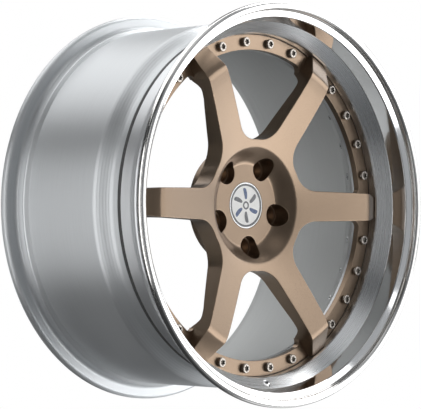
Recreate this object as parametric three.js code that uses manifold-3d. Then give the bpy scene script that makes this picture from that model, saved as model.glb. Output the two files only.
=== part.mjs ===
// Three-piece forged racing wheel, 20 x 10 inch, 5 x 114.3.
// A six-spoke centre disc sits in the pocket of a polished outer lip. Twenty-four bolts clamp its rim ring,
// the flange of the lip and the flange of the inner barrel together, and a bead of sealant closes the joint.
// Millimetres, +Z up. The origin is the middle of the rim's width on the wheel's axis. The axis is +Y, and
// the face of the wheel looks towards -Y.

import * as THREE from 'three';
import { mergeVertices } from 'three/addons/utils/BufferGeometryUtils.js';
import Module from 'manifold-3d';

const wasm = await Module();
wasm.setup();

// ---------------------------------------------------------------- driving dimensions

const INCH = 25.4;
const GAP = 0.3;                          // clearance between pieces that touch
const TURN_STEPS = 48;                    // facets round the large turned pieces
const SMALL_STEPS = 24;                   // facets round the cap and its neighbours
const HOLE_STEPS = 8;                     // facets round a bolt and its hole

// rim
const BEAD_SEAT_R = 20 * INCH / 2;        // 508 mm bead seat diameter
const RIM_WIDTH = 10 * INCH;              // between the inner faces of the two flanges
const FLANGE_R = 271.5;                   // top of a tyre flange
const FLANGE_THICK = 13.1;                // along the axis, at its thickest
const HALF_WIDTH = RIM_WIDTH / 2 + FLANGE_THICK;
const WALL = 4.4;                         // rim wall
const WELL_R = 238;                       // outside of the well, where the two rim halves meet
const BARREL_R = 249.5;                   // outside of the long straight part of the barrel

// stack at the joint, from the face of the disc's rim ring backwards
const RING_FACE_Y = -75.3;
const RING_THICK = 9;
const RIM_FLANGE_THICK = 4.5;
const RING_OUTER_R = 231.8;
const RING_INNER_R = 211;
const POCKET_R = 232.6;                   // lip wall round the disc
const LIP_FLANGE_Y = RING_FACE_Y + RING_THICK + GAP;
const BARREL_FLANGE_Y = LIP_FLANGE_Y + RIM_FLANGE_THICK + GAP;
const NUT_Y = BARREL_FLANGE_Y + RIM_FLANGE_THICK + GAP;

// assembly bolts: M8, four to a window
const BOLT_CIRCLE_R = 221.35;
const BOLT_PITCH = THREE.MathUtils.degToRad(12);
const BOLTS_PER_WINDOW = 4;
const BOLT_R = 3.9;
const BOLT_HOLE_R = 4.3;
const BOLT_HEAD_R = 6.6;
const BOLT_HEAD_H = 5.2;
const BOLT_TAIL = 2.2;                    // thread that stands out of the nut
const NUT_R = 7.3;                        // over the corners
const NUT_H = 6.8;

// centre disc
const SPOKES = 6;
const SPOKE_HALF_ROOT = { r: 130, w: 20.7 };
const SPOKE_HALF_BEND = { r: 202, w: 19.1 };
const SPOKE_HALF_END = { r: 231.8, w: 15 };
const HUB_R = 89.7;                       // bottom of each window
const HUB_FILLET = 35;
const CORNER_FILLET = 9;                  // window corners beside the rim ring
const BOWL_R = 57;                        // flat round the cap, at the bottom of the bowl
const BOWL_RIM_R = 80.5;
const BOWL_Y = -56.1;
const PAD_R = 78;                         // mounting pad on the car's hub
const PAD_Y = -24.1;
const HUB_BORE_R = 36.55;                 // 73.1 mm centre bore
const HUB_BORE_END_Y = -40.1;

// spoke faces, as radius and place along the axis
const FACE_INNER = [90, -78.1];
const FACE_BEND = [201, -102.3];
const FACE_OUTER = [231.8, -85];
const BACK_INNER = [88, -46.8];
const BACK_THIN = [187, -81.6];

// lug holes
const LUGS = 5;
const LUG_CIRCLE_R = 114.3 / 2;
const LUG_START = THREE.MathUtils.degToRad(-12.9);
const LUG_POCKET_R = 15.35;
const LUG_SEAT_Y = -43;
const LUG_SEAT_R = 12.6;
const LUG_HOLE_R = 7.5;
const LUG_SEAT_DEPTH = (LUG_SEAT_R - LUG_HOLE_R) * Math.sqrt(3);    // 60 degree cone

// valve hole, square to the cone behind the lip, at the bottom of the wheel
const VALVE_R = 5.75;
const VALVE_SPOT_R = 8.6;

// centre cap
const CAP_R = 31.4;
const CAP_FACE_T = 2.7;
const CAP_RECESS_R = CAP_R + 0.4;
const CAP_RECESS_DEPTH = CAP_FACE_T + GAP;
const CAP_SKIRT_R = 28.5;
const CAP_SKIRT_WALL = 2.6;
const CAP_SKIRT_L = 11.5;
const CAP_BORE_R = 29;
const BADGE_R = 29.6;
const BADGE_T = 1;
const CAP_RING_BAR = 1.3;                 // wire of the retaining ring
const CAP_RING_FROM_FACE = 8;
const CAP_RING_GAP = THREE.MathUtils.degToRad(24);

// ---------------------------------------------------------------- materials

const metal = (color, roughness, metalness = 1) =>
  new THREE.MeshStandardMaterial({ color, roughness, metalness });

const MATERIALS = {
  bronze: metal(0xb59f87, 0.42, 0.75),
  polished: metal(0xd9dadb, 0.08),
  barrel: metal(0xb9bdbf, 0.34),
  fastener: metal(0xd8d6d2, 0.18),
  sealant: metal(0x2a2a2b, 0.7, 0),
  cap: metal(0xd0d1d2, 0.25),
  badge: metal(0xe9e9e6, 0.35, 0),
  spring: metal(0x8f9092, 0.3),
};

// ---------------------------------------------------------------- solids

// A geometry as a manifold-3d solid, with its shared vertices merged.
function toSolid(geometry) {
  const bare = geometry.clone();
  bare.deleteAttribute('normal');
  bare.deleteAttribute('uv');
  const merged = mergeVertices(bare, 1e-4);
  const corners = merged.index.array;
  const faces = [];
  for (let i = 0; i < corners.length; i += 3) {
    const [a, b, c] = corners.slice(i, i + 3);
    if (a !== b && b !== c && c !== a) {
      faces.push(a, b, c);
    }
  }
  return new wasm.Manifold(new wasm.Mesh({
    numProp: 3,
    vertProperties: merged.attributes.position.array,
    triVerts: new Uint32Array(faces),
  }));
}

function toGeometry(solid) {
  const mesh = solid.getMesh();
  const geometry = new THREE.BufferGeometry();
  geometry.setAttribute('position', new THREE.BufferAttribute(mesh.vertProperties, 3));
  geometry.setIndex(new THREE.BufferAttribute(mesh.triVerts, 1));
  geometry.computeVertexNormals();
  return geometry;
}

// Twice the signed area of a closed outline of [radius, y] points.
function doubleArea(outline) {
  return outline.reduce((sum, [r, y], i) => {
    const [nextR, nextY] = outline[(i + 1) % outline.length];
    return sum + r * nextY - nextR * y;
  }, 0);
}

// Solid turned round the Y axis from an outline of [radius, y] points. An outline that touches the axis
// begins and ends on it, and any other closes on itself.
function turned(outline, steps = TURN_STEPS) {
  const outward = doubleArea(outline) > 0 ? outline : [...outline].reverse();
  const points = outward.map(([r, y]) => new THREE.Vector2(r, y));
  if (outward[0][0] > 0) {
    points.push(points[0].clone());
  }
  return toSolid(new THREE.LatheGeometry(points, steps));
}

// Solid cylinder along Y.
const rod = (radius, fromY, toY, steps) =>
  turned([[0, fromY], [radius, fromY], [radius, toY], [0, toY]], steps);

// Solid of a flat (x, z) shape between two places along Y.
function prism(shape, fromY, toY, curveSegments) {
  const geometry = new THREE.ExtrudeGeometry(shape, {
    depth: toY - fromY,
    bevelEnabled: false,
    curveSegments,
  });
  geometry.rotateX(Math.PI / 2);
  geometry.translate(0, toY, 0);
  return toSolid(geometry);
}

// The point at a radius and an angle in the plane of the wheel: angle 0 is +X and a quarter turn is +Z.
const polar = (radius, angle) =>
  new THREE.Vector2(radius * Math.cos(angle), radius * Math.sin(angle));

// Moves a solid from the axis to a radius and an angle, and turns it so that it keeps facing the axis.
function placed(solid, radius, angle) {
  const place = polar(radius, angle);
  const matrix = new THREE.Matrix4().makeRotationY(-angle).setPosition(place.x, 0, place.y);
  return solid.transform(matrix.elements);
}

const turnedBy = (solid, angle) => placed(solid, 0, angle);

// ---------------------------------------------------------------- places round the wheel

const WINDOW_ANGLES = Array.from({ length: SPOKES }, (_, i) => (i + 0.5) * 2 * Math.PI / SPOKES);

const BOLT_ANGLES = WINDOW_ANGLES.flatMap((middle) =>
  Array.from({ length: BOLTS_PER_WINDOW }, (_, i) => middle + (i - (BOLTS_PER_WINDOW - 1) / 2) * BOLT_PITCH));

const LUG_ANGLES = Array.from({ length: LUGS }, (_, i) => LUG_START + i * 2 * Math.PI / LUGS);

// Cuts the bolt holes through a flange.
function drillBoltHoles(solid, fromY, toY) {
  const drill = rod(BOLT_HOLE_R, fromY - 1, toY + 1, HOLE_STEPS);
  return BOLT_ANGLES.reduce(
    (left, angle) => left.subtract(placed(drill, BOLT_CIRCLE_R, angle)),
    solid,
  );
}

// ---------------------------------------------------------------- rim halves

// One tyre flange, from its foot on the wheel's outside to its foot on the inside. side is -1 at the face of
// the wheel and 1 at the back.
function flangeOutline(side) {
  const tyreFace = side * RIM_WIDTH / 2;
  const end = side * HALF_WIDTH;
  const crown = FLANGE_R - 6;
  return [
    [BEAD_SEAT_R, tyreFace],
    [crown - 4, tyreFace],
    [crown + 3, tyreFace + side * 1.6],
    [FLANGE_R, tyreFace + side * 6.2],
    [FLANGE_R, tyreFace + side * 8.2],
    [crown + 2.6, end - side * 0.7],
    [crown - 1, end],
  ];
}

// The lip: front flange, bead seat, the polished wall inside it, the cone that steps down to the disc's
// pocket, and the flange that the disc bolts to.
const THROAT = [252.2, -128.6];           // where the front flange flares out of the wall
const CONE_OUTER = [247.8, -105.7];
const CONE_INNER = [POCKET_R + 0.9, -88.9];
const LIP_BACK_Y = LIP_FLANGE_Y + RIM_FLANGE_THICK;
const SEAL_DEPTH = 3;                     // groove at the outside of the joint, half in each rim half

function outerLip() {
  const outline = [
    ...flangeOutline(-1),
    THROAT,
    CONE_OUTER,
    CONE_INNER,
    [POCKET_R, -86.9],
    [POCKET_R, LIP_FLANGE_Y],
    [RING_INNER_R + 0.5, LIP_FLANGE_Y],
    [RING_INNER_R + 0.5, LIP_BACK_Y],
    [WELL_R - SEAL_DEPTH, LIP_BACK_Y],
    [WELL_R, LIP_BACK_Y - SEAL_DEPTH],
    [WELL_R, CONE_INNER[1] + 2.2],
    [CONE_OUTER[0] + WALL, CONE_OUTER[1] + 3],
    [BEAD_SEAT_R - 1.2, CONE_OUTER[1] - 1],
  ];
  const blank = drillBoltHoles(turned(outline), LIP_FLANGE_Y, LIP_BACK_Y);

  // the valve hole and its spot face, square to the cone
  const along = new THREE.Vector2(CONE_INNER[0] - CONE_OUTER[0], CONE_INNER[1] - CONE_OUTER[1]);
  const middle = new THREE.Vector2(...CONE_OUTER).addScaledVector(along, 0.52);
  const tilt = -Math.atan2(along.y, -along.x);
  const drill = rod(VALVE_R, -20, 20, 12).add(rod(VALVE_SPOT_R, -20, 0.5, 16));
  const aim = new THREE.Matrix4().makeRotationX(tilt).setPosition(0, middle.y, -middle.x);
  return blank.subtract(drill.transform(aim.elements));
}

// The barrel: the flange that the disc bolts to, the well, the long straight wall and the rear flange.
function innerBarrel() {
  const back = BARREL_FLANGE_Y + RIM_FLANGE_THICK;
  const riseStart = -51;
  const riseEnd = -22;
  const rearSeatEnd = 109;
  const outline = [
    [WELL_R - SEAL_DEPTH, BARREL_FLANGE_Y],
    [RING_INNER_R + 0.5, BARREL_FLANGE_Y],
    [RING_INNER_R + 0.5, back],
    [WELL_R - WALL - 2.5, back],
    [WELL_R - WALL, back + 2.5],
    [WELL_R - WALL, riseStart + 1],
    [BARREL_R - WALL, riseEnd + 1],
    [BARREL_R - WALL, 122],
    [BARREL_R - WALL + 3, HALF_WIDTH - 4],
    ...flangeOutline(1).reverse(),
    [BEAD_SEAT_R - 1.6, rearSeatEnd + 1],
    [BARREL_R, rearSeatEnd - 2.5],
    [BARREL_R, riseEnd],
    [WELL_R, riseStart],
    [WELL_R, BARREL_FLANGE_Y + SEAL_DEPTH],
  ];
  return drillBoltHoles(turned(outline), BARREL_FLANGE_Y, back);
}

// The bead of sealant in the groove between the two rim halves.
function sealantBead() {
  const floor = WELL_R - SEAL_DEPTH + GAP + 0.3;
  return turned([
    [floor, LIP_BACK_Y + GAP / 2],
    [WELL_R + 0.4, LIP_BACK_Y - SEAL_DEPTH + GAP + 0.4],
    [WELL_R + 0.4, BARREL_FLANGE_Y + SEAL_DEPTH - GAP - 0.4],
  ]);
}

// ---------------------------------------------------------------- centre disc

// Half width of a spoke's straight side at a distance along the spoke.
const SIDE_SLOPE = (SPOKE_HALF_BEND.w - SPOKE_HALF_ROOT.w) / (SPOKE_HALF_BEND.r - SPOKE_HALF_ROOT.r);
const sideAt = (r) => SPOKE_HALF_ROOT.w + SIDE_SLOPE * (r - SPOKE_HALF_ROOT.r);

// Centre of a fillet that touches a spoke's side and lies at a distance from the wheel's axis.
function filletCentre(fillet, distance) {
  const offset = sideAt(0) + fillet * Math.hypot(1, SIDE_SLOPE);
  const a = 1 + SIDE_SLOPE ** 2;
  const b = offset * SIDE_SLOPE;
  const along = (-b + Math.sqrt(b * b - a * (offset * offset - distance * distance))) / a;
  return new THREE.Vector2(along, offset + SIDE_SLOPE * along);
}

// Points of an arc round a centre, from one direction to another.
function filletPoints(centre, radius, from, to, steps) {
  return Array.from({ length: steps + 1 }, (_, i) =>
    polar(radius, from + (to - from) * i / steps).add(centre));
}

// Half the outline of a window, beside a spoke that lies along angle 0, from the bottom of the window outwards.
function halfWindow(outerPoints) {
  const centre = filletCentre(HUB_FILLET, HUB_R + HUB_FILLET);
  const onSide = -Math.PI / 2 + Math.atan(SIDE_SLOPE);
  const onHub = centre.angle() - Math.PI;
  const middle = Math.PI / SPOKES;
  const hub = [1, 0.5].map((t) => polar(HUB_R, centre.angle() + (middle - centre.angle()) * t));
  return [...hub, ...filletPoints(centre, HUB_FILLET, onHub, onSide, 7), ...outerPoints];
}

// The whole window shape in the gap after the spoke at angle 0.
function windowShape(outerPoints) {
  const half = halfWindow(outerPoints);
  const mirror = 2 * Math.PI / SPOKES;
  const other = half.slice(1).reverse().map((p) => polar(p.length(), mirror - p.angle()));
  return new THREE.Shape([...half, ...other]);
}

// Wide window: everything between two spokes, out past the disc, so that the ring's face lies open.
function wideWindow() {
  const past = RING_OUTER_R + 12;
  const narrowing = (SPOKE_HALF_END.w - SPOKE_HALF_BEND.w) / (SPOKE_HALF_END.r - SPOKE_HALF_BEND.r);
  const endHalf = SPOKE_HALF_END.w + narrowing * (past - SPOKE_HALF_END.r);
  const reach = past / Math.cos(Math.PI / SPOKES / 2);
  return windowShape([
    new THREE.Vector2(SPOKE_HALF_BEND.r, SPOKE_HALF_BEND.w),
    new THREE.Vector2(SPOKE_HALF_END.r, SPOKE_HALF_END.w),
    new THREE.Vector2(past, endHalf),
    polar(reach, Math.PI / SPOKES / 2),
    polar(reach, Math.PI / SPOKES),
  ]);
}

// Clear window: the opening that goes right through, closed by the rim ring and its two fillets.
function clearWindow() {
  const centre = filletCentre(CORNER_FILLET, RING_INNER_R - CORNER_FILLET);
  const onSide = -Math.PI / 2 + Math.atan(SIDE_SLOPE);
  const arc = 4;
  const rim = Array.from({ length: arc }, (_, i) =>
    polar(RING_INNER_R, centre.angle() + (Math.PI / SPOKES - centre.angle()) * (i + 1) / arc));
  return windowShape([...filletPoints(centre, CORNER_FILLET, onSide, centre.angle(), 4), ...rim]);
}

// Pocket, conical seat and through hole for one wheel nut.
function lugCutter() {
  return turned([
    [0, FACE_BEND[1]],
    [LUG_POCKET_R, FACE_BEND[1]],
    [LUG_POCKET_R, LUG_SEAT_Y],
    [LUG_SEAT_R, LUG_SEAT_Y],
    [LUG_HOLE_R, LUG_SEAT_Y + LUG_SEAT_DEPTH],
    [LUG_HOLE_R, PAD_Y + 1],
    [0, PAD_Y + 1],
  ], 20);
}

// The turned blank: hub, bowl, and the spokes' front and back faces.
function discBlank() {
  const recessFloor = BOWL_Y + CAP_RECESS_DEPTH;
  const ringBack = RING_FACE_Y + RING_THICK;
  return turned([
    [CAP_BORE_R, recessFloor],
    [CAP_RECESS_R, recessFloor],
    [CAP_RECESS_R, BOWL_Y],
    [BOWL_R - 0.8, BOWL_Y],
    [BOWL_R + 0.8, BOWL_Y - 0.8],
    [BOWL_RIM_R - 3.4, -73.2],
    [BOWL_RIM_R - 0.8, -75.4],
    [BOWL_RIM_R + 3, -76.4],
    FACE_INNER,
    [FACE_BEND[0] - 5, -101.2],
    [FACE_BEND[0] + 0.4, -101.5],
    [FACE_BEND[0] + 5, -99.9],
    FACE_OUTER,
    [RING_OUTER_R, ringBack],
    [RING_INNER_R + 0.8, ringBack],
    [203, -73],
    [196, -78.8],
    BACK_THIN,
    [178, -79.6],
    BACK_INNER,
    [PAD_R + 3.5, -43.2],
    [PAD_R, -39],
    [PAD_R, PAD_Y - 1],
    [PAD_R - 1, PAD_Y],
    [HUB_BORE_R + 1.5, PAD_Y],
    [HUB_BORE_R, PAD_Y - 1.5],
    [HUB_BORE_R, HUB_BORE_END_Y],
    [CAP_BORE_R, HUB_BORE_END_Y],
  ]);
}

function centreDisc() {
  const ringBack = RING_FACE_Y + RING_THICK;
  const ring = turned([
    [RING_INNER_R - CORNER_FILLET, RING_FACE_Y],
    [RING_OUTER_R, RING_FACE_Y],
    [RING_OUTER_R, ringBack],
    [RING_INNER_R - CORNER_FILLET, ringBack],
  ]);
  const wide = prism(wideWindow(), FACE_BEND[1] - 1, PAD_Y + 1);
  const clear = prism(clearWindow(), FACE_BEND[1] - 1, PAD_Y + 1);
  const gaps = WINDOW_ANGLES.map((angle) => angle - WINDOW_ANGLES[0]);

  let disc = discBlank();
  for (const gap of gaps) {
    disc = disc.subtract(turnedBy(wide, gap));
  }
  disc = disc.add(ring);
  for (const gap of gaps) {
    disc = disc.subtract(turnedBy(clear, gap));
  }
  for (const angle of LUG_ANGLES) {
    disc = disc.subtract(placed(lugCutter(), LUG_CIRCLE_R, angle));
  }
  return drillBoltHoles(disc, RING_FACE_Y, ringBack);
}

// ---------------------------------------------------------------- fasteners

// Round-headed bolt, from the top of its head to the thread that stands out of the nut.
function assemblyBolt() {
  const seat = RING_FACE_Y - GAP;
  const top = seat - BOLT_HEAD_H;
  const end = NUT_Y + NUT_H + BOLT_TAIL;
  return turned([
    [0, top],
    [BOLT_HEAD_R - 0.9, top],
    [BOLT_HEAD_R, top + 0.9],
    [BOLT_HEAD_R, seat],
    [BOLT_R, seat],
    [BOLT_R, end],
    [0, end],
  ], HOLE_STEPS);
}

// Flanged nut on the back of the barrel's flange.
function assemblyNut() {
  const flange = 1.6;
  return turned([
    [BOLT_HOLE_R, NUT_Y],
    [NUT_R, NUT_Y],
    [NUT_R, NUT_Y + flange],
    [NUT_R - 1.2, NUT_Y + flange],
    [NUT_R - 1.2, NUT_Y + NUT_H],
    [BOLT_HOLE_R, NUT_Y + NUT_H],
  ], HOLE_STEPS);
}

// ---------------------------------------------------------------- centre cap

const CAP_GROOVE = { from: BOWL_Y + CAP_RING_FROM_FACE, depth: 1.6 };

// Snap-in cap: a face with a recess for the badge, and a skirt with a groove for the retaining ring.
function centreCap() {
  const faceBack = BOWL_Y + CAP_FACE_T;
  const skirtEnd = faceBack + CAP_SKIRT_L;
  const grooveEnd = CAP_GROOVE.from + CAP_RING_BAR + 2 * GAP;
  return turned([
    [0, BOWL_Y + BADGE_T + GAP],
    [BADGE_R + 0.3, BOWL_Y + BADGE_T + GAP],
    [BADGE_R + 0.3, BOWL_Y],
    [CAP_R - 0.5, BOWL_Y],
    [CAP_R, BOWL_Y + 0.5],
    [CAP_R, faceBack],
    [CAP_SKIRT_R, faceBack],
    [CAP_SKIRT_R, CAP_GROOVE.from],
    [CAP_SKIRT_R - CAP_GROOVE.depth, CAP_GROOVE.from],
    [CAP_SKIRT_R - CAP_GROOVE.depth, grooveEnd],
    [CAP_SKIRT_R, grooveEnd],
    [CAP_SKIRT_R, skirtEnd - 1],
    [CAP_SKIRT_R - 1, skirtEnd],
    [CAP_SKIRT_R - CAP_SKIRT_WALL, skirtEnd],
    [CAP_SKIRT_R - CAP_SKIRT_WALL, faceBack],
    [0, faceBack],
  ], SMALL_STEPS);
}

// The badge plate that sits in the cap's recess.
const capBadge = () => rod(BADGE_R, BOWL_Y, BOWL_Y + BADGE_T, SMALL_STEPS);

// Open spring ring in the groove of the cap's skirt.
function capRetainingRing() {
  const inner = CAP_SKIRT_R - CAP_GROOVE.depth + GAP;
  const outer = inner + CAP_RING_BAR;
  const from = -Math.PI / 2 + CAP_RING_GAP / 2;
  const to = from + 2 * Math.PI - CAP_RING_GAP;
  const shape = new THREE.Shape();
  shape.absarc(0, 0, outer, from, to, false);
  shape.absarc(0, 0, inner, to, from, true);
  const start = CAP_GROOVE.from + GAP;
  return prism(shape, start, start + CAP_RING_BAR, SMALL_STEPS / 2);
}

// ---------------------------------------------------------------- assembly

function addPiece(parent, name, solid, material) {
  const mesh = new THREE.Mesh(toGeometry(solid), material);
  mesh.name = name;
  parent.add(mesh);
  return mesh;
}

const wheel = new THREE.Group();
addPiece(wheel, 'outer_lip', outerLip(), MATERIALS.polished);
addPiece(wheel, 'inner_barrel', innerBarrel(), MATERIALS.barrel);
addPiece(wheel, 'sealant_bead', sealantBead(), MATERIALS.sealant);
addPiece(wheel, 'centre_disc', centreDisc(), MATERIALS.bronze);

const fasteners = { assembly_bolt: assemblyBolt(), assembly_nut: assemblyNut() };
for (const [name, solid] of Object.entries(fasteners)) {
  BOLT_ANGLES.forEach((angle, i) => {
    const mesh = addPiece(wheel, `${name}_${String(i + 1).padStart(2, '0')}`, solid, MATERIALS.fastener);
    const place = polar(BOLT_CIRCLE_R, angle);
    mesh.position.set(place.x, 0, place.y);
    mesh.rotation.y = -angle;
  });
}

const cap = new THREE.Group();
addPiece(cap, 'centre_cap', centreCap(), MATERIALS.cap);
addPiece(cap, 'cap_badge', capBadge(), MATERIALS.badge);
addPiece(cap, 'cap_retaining_ring', capRetainingRing(), MATERIALS.spring);
wheel.add(cap);

export default wheel;
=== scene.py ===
import math
import random

import bmesh
import bpy
from mathutils import Matrix, Vector
from mathutils.geometry import delaunay_2d_cdt

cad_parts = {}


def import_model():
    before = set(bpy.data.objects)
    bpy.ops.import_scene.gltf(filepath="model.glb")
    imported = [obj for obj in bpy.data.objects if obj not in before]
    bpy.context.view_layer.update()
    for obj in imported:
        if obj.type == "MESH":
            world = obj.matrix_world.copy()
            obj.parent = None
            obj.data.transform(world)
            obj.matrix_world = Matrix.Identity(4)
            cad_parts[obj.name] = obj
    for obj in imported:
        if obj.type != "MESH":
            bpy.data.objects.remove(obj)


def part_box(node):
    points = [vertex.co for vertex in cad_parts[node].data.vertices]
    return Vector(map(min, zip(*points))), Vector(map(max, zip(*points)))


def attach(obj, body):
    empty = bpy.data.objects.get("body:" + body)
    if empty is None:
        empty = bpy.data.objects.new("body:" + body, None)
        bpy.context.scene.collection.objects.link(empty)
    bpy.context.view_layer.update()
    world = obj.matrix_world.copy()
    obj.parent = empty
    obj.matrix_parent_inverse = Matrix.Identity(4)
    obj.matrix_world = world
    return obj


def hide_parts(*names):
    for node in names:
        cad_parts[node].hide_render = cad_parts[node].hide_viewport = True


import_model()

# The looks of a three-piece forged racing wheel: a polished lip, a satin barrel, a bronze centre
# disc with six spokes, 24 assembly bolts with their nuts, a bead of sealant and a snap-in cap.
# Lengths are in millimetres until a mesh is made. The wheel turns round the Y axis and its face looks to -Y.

MM = 0.001
TAU = 2 * math.pi
SEED = 11

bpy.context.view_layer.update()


def cad(node):
    """Lowest and highest corner of a CAD node, in millimetres."""
    low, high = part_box(node)
    return low / MM, high / MM


# ---------------------------------------------------------------- places, from the CAD frame

LIP_LOW, LIP_HIGH = cad("outer_lip")
BARREL_LOW, BARREL_HIGH = cad("inner_barrel")
DISC_HIGH = cad("centre_disc")[1]
CAP_HIGH = cad("centre_cap")[1]
BADGE_LOW, BADGE_HIGH = cad("cap_badge")
CLIP_LOW, CLIP_HIGH = cad("cap_retaining_ring")

FLANGE_R = LIP_HIGH.z                     # top of both tyre flanges
FACE_Y = LIP_LOW.y                        # foremost edge of the lip
BACK_Y = BARREL_HIGH.y                    # rearmost edge of the barrel
PAD_Y = DISC_HIGH.y                       # mounting pad
DISC_R = DISC_HIGH.x                      # outside of the disc's rim ring
BOWL_Y = BADGE_LOW.y                      # flat round the cap, level with the badge
FLANGE_THICK = 13.1                       # along the axis
GAP = 0.3

# rim halves
BEAD_SEAT_R = 254
TYRE_FACE = BACK_Y - FLANGE_THICK         # inner face of a tyre flange, on either side
WALL = 4.4
WELL_R = 238
BARREL_R = 249.5
POCKET_R = DISC_R + 0.8
JOINT_Y = BARREL_LOW.y                    # where the two rim halves meet
RIM_FLANGE_THICK = 4.5
RIM_FLANGE_R = 211.5
SEAL_DEPTH = 3
CONE_OUTER = (247.8, FACE_Y + 34.4)
CONE_INNER = (233.5, FACE_Y + 51.2)

# disc
SPOKES = 6
RING_THICK = 9
RING_BACK = JOINT_Y - RIM_FLANGE_THICK - 2 * GAP
RING_FACE = RING_BACK - RING_THICK
RING_INNER_R = 211
HUB_R = 89.7
HUB_FILLET = 35
CORNER_FILLET = 9
RIM_ZONE_R = 84                           # circle where the bowl's mesh meets the spokes'
CAP_RECESS_R = CAP_HIGH.x + 0.4
CAP_RECESS_FLOOR = BOWL_Y + 3
CAP_BORE_R = 29
HUB_BORE_R = 36.55
HUB_BORE_END = PAD_Y - 16
PAD_R = 78
EDGE = 1.1                                # soft edge of a spoke's face
BACK_EDGE = 0.8

# lug holes
LUGS = 5
LUG_CIRCLE_R = 114.3 / 2
LUG_START = math.radians(-12.9)
LUG_POCKET_R = 15.35
LUG_SEAT_Y = PAD_Y - 18.9
LUG_SEAT_R = 12.6
LUG_HOLE_R = 7.5
LUG_EDGE = 0.6

# fasteners
BOLTS = 24
BOLT_HEAD_R = 6.6
BOLT_HEAD_H = 5.2
BOLT_R = 3.9
NUT_H = 6.8
NUT_R = 7.3

LUG_ANGLES = [LUG_START + i * TAU / LUGS for i in range(LUGS)]


# ---------------------------------------------------------------- mesh tools

class Shell:
    """A closed mesh built from patches whose edges meet. Points are (x, y, z) in millimetres."""

    def __init__(self):
        self.points = []
        self.found = {}
        self.faces = []
        self.zones = []

    def point(self, p):
        key = tuple(round(c * 500) for c in p)
        if key not in self.found:
            self.found[key] = len(self.points)
            self.points.append(tuple(p))
        return self.found[key]

    def face(self, corners, zone=0):
        ids = []
        for corner in corners:
            i = self.point(corner)
            if i not in ids:
                ids.append(i)
        if len(ids) > 2:
            self.faces.append(ids)
            self.zones.append(zone)

    def grid(self, rows, closed=False, zones=None):
        """Quads between rows of points, the rows closed on themselves or not."""
        for k, (a, b) in enumerate(zip(rows, rows[1:])):
            zone = zones[k] if zones else 0
            count = len(a)
            for i in range(count if closed else count - 1):
                j = (i + 1) % count
                self.face([a[i], a[j], b[j], b[i]], zone)

    def mesh(self, name, sharp=30):
        made = bpy.data.meshes.new(name)
        made.from_pydata([[c * MM for c in p] for p in self.points], [], self.faces)
        made.polygons.foreach_set("material_index", self.zones)
        work = bmesh.new()
        work.from_mesh(made)
        bmesh.ops.remove_doubles(work, verts=work.verts, dist=0.004 * MM)
        bmesh.ops.recalc_face_normals(work, faces=work.faces)
        work.to_mesh(made)
        work.free()
        smooth(made, sharp)
        return made


def smooth(mesh, sharp=30):
    """Smooth shading, with the edges sharper than an angle left crisp."""
    mesh.polygons.foreach_set("use_smooth", [True] * len(mesh.polygons))
    mesh.set_sharp_from_angle(angle=math.radians(sharp))
    mesh.update()


def piece(name, mesh, body, materials, slot, nodes):
    """An object of the wheel, the CAD body it rides on and the nodes it stands for."""
    made = bpy.data.objects.new(name, mesh)
    bpy.context.scene.collection.objects.link(made)
    if not mesh.materials:
        for material in materials:
            mesh.materials.append(material)
    modifier = made.modifiers.new("flat faces stay flat", "WEIGHTED_NORMAL")
    modifier.keep_sharp = True
    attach(made, body)
    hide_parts(*nodes)
    return made


def spaced(a, b, count):
    """count + 1 values from a to b."""
    return [a + (b - a) * i / count for i in range(count + 1)]


def polar(radius, angle):
    return radius * math.cos(angle), radius * math.sin(angle)


MOST_REACH = 0.69                         # share of a side that one corner's arc may take


def rounded(corners, closed=True, step=11):
    """An outline through (radius, y, rounding, zone) corners, each replaced by an arc of its rounding.
    Returns [(radius, y, zone)], where zone belongs to the stretch that starts at the point."""
    outline = []
    count = len(corners)
    for i, (r, y, rounding, zone) in enumerate(corners):
        here = Vector((r, y))
        if rounding == 0 or (not closed and i in (0, count - 1)):
            outline.append((r, y, zone))
            continue
        before = Vector(corners[i - 1][:2]) - here
        after = Vector(corners[(i + 1) % count][:2]) - here
        turn = math.pi - before.angle(after)
        reach = rounding * math.tan(turn / 2)
        reach = min(reach, MOST_REACH * before.length, MOST_REACH * after.length)
        radius = reach / math.tan(turn / 2)
        start = here + before.normalized() * reach
        end = here + after.normalized() * reach
        halfway = (before.normalized() + after.normalized()).normalized()
        centre = here + halfway * math.hypot(radius, reach)
        steps = max(2, math.ceil(math.degrees(turn) / step))
        first = start - centre
        sweep = first.angle_signed(end - centre)
        for k in range(steps + 1):
            angle = -sweep * k / steps
            arm = Vector((
                first.x * math.cos(angle) - first.y * math.sin(angle),
                first.x * math.sin(angle) + first.y * math.cos(angle),
            ))
            stretch = zone if k == steps else corners[i - 1][3]
            outline.append((centre.x + arm.x, centre.y + arm.y, stretch))
    return outline


def round_row(radius, y, count, start=0.0):
    """One ring of points round the wheel's axis."""
    return [_flat(radius, start + TAU * i / count, y) for i in range(count)]


def _flat(radius, angle, y):
    x, z = polar(radius, angle)
    return x, y, z


def lathe(outline, count, closed=True):
    """A shell turned round the wheel's axis. A radius of 0 makes a pole."""
    shell = Shell()
    rows = [round_row(max(r, 0), y, count) for r, y, _ in outline]
    zones = [zone for _, _, zone in outline]
    if closed:
        rows.append(rows[0])
    shell.grid(rows, closed=True, zones=zones)
    return shell


def moved(points, radius, angle):
    """Points built round the wheel's axis, carried out to a radius and an angle and turned with it."""
    x0, z0 = polar(radius, angle)
    c, s = math.cos(angle), math.sin(angle)
    return [(x * c - z * s + x0, y, x * s + z * c + z0) for x, y, z in points]


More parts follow.
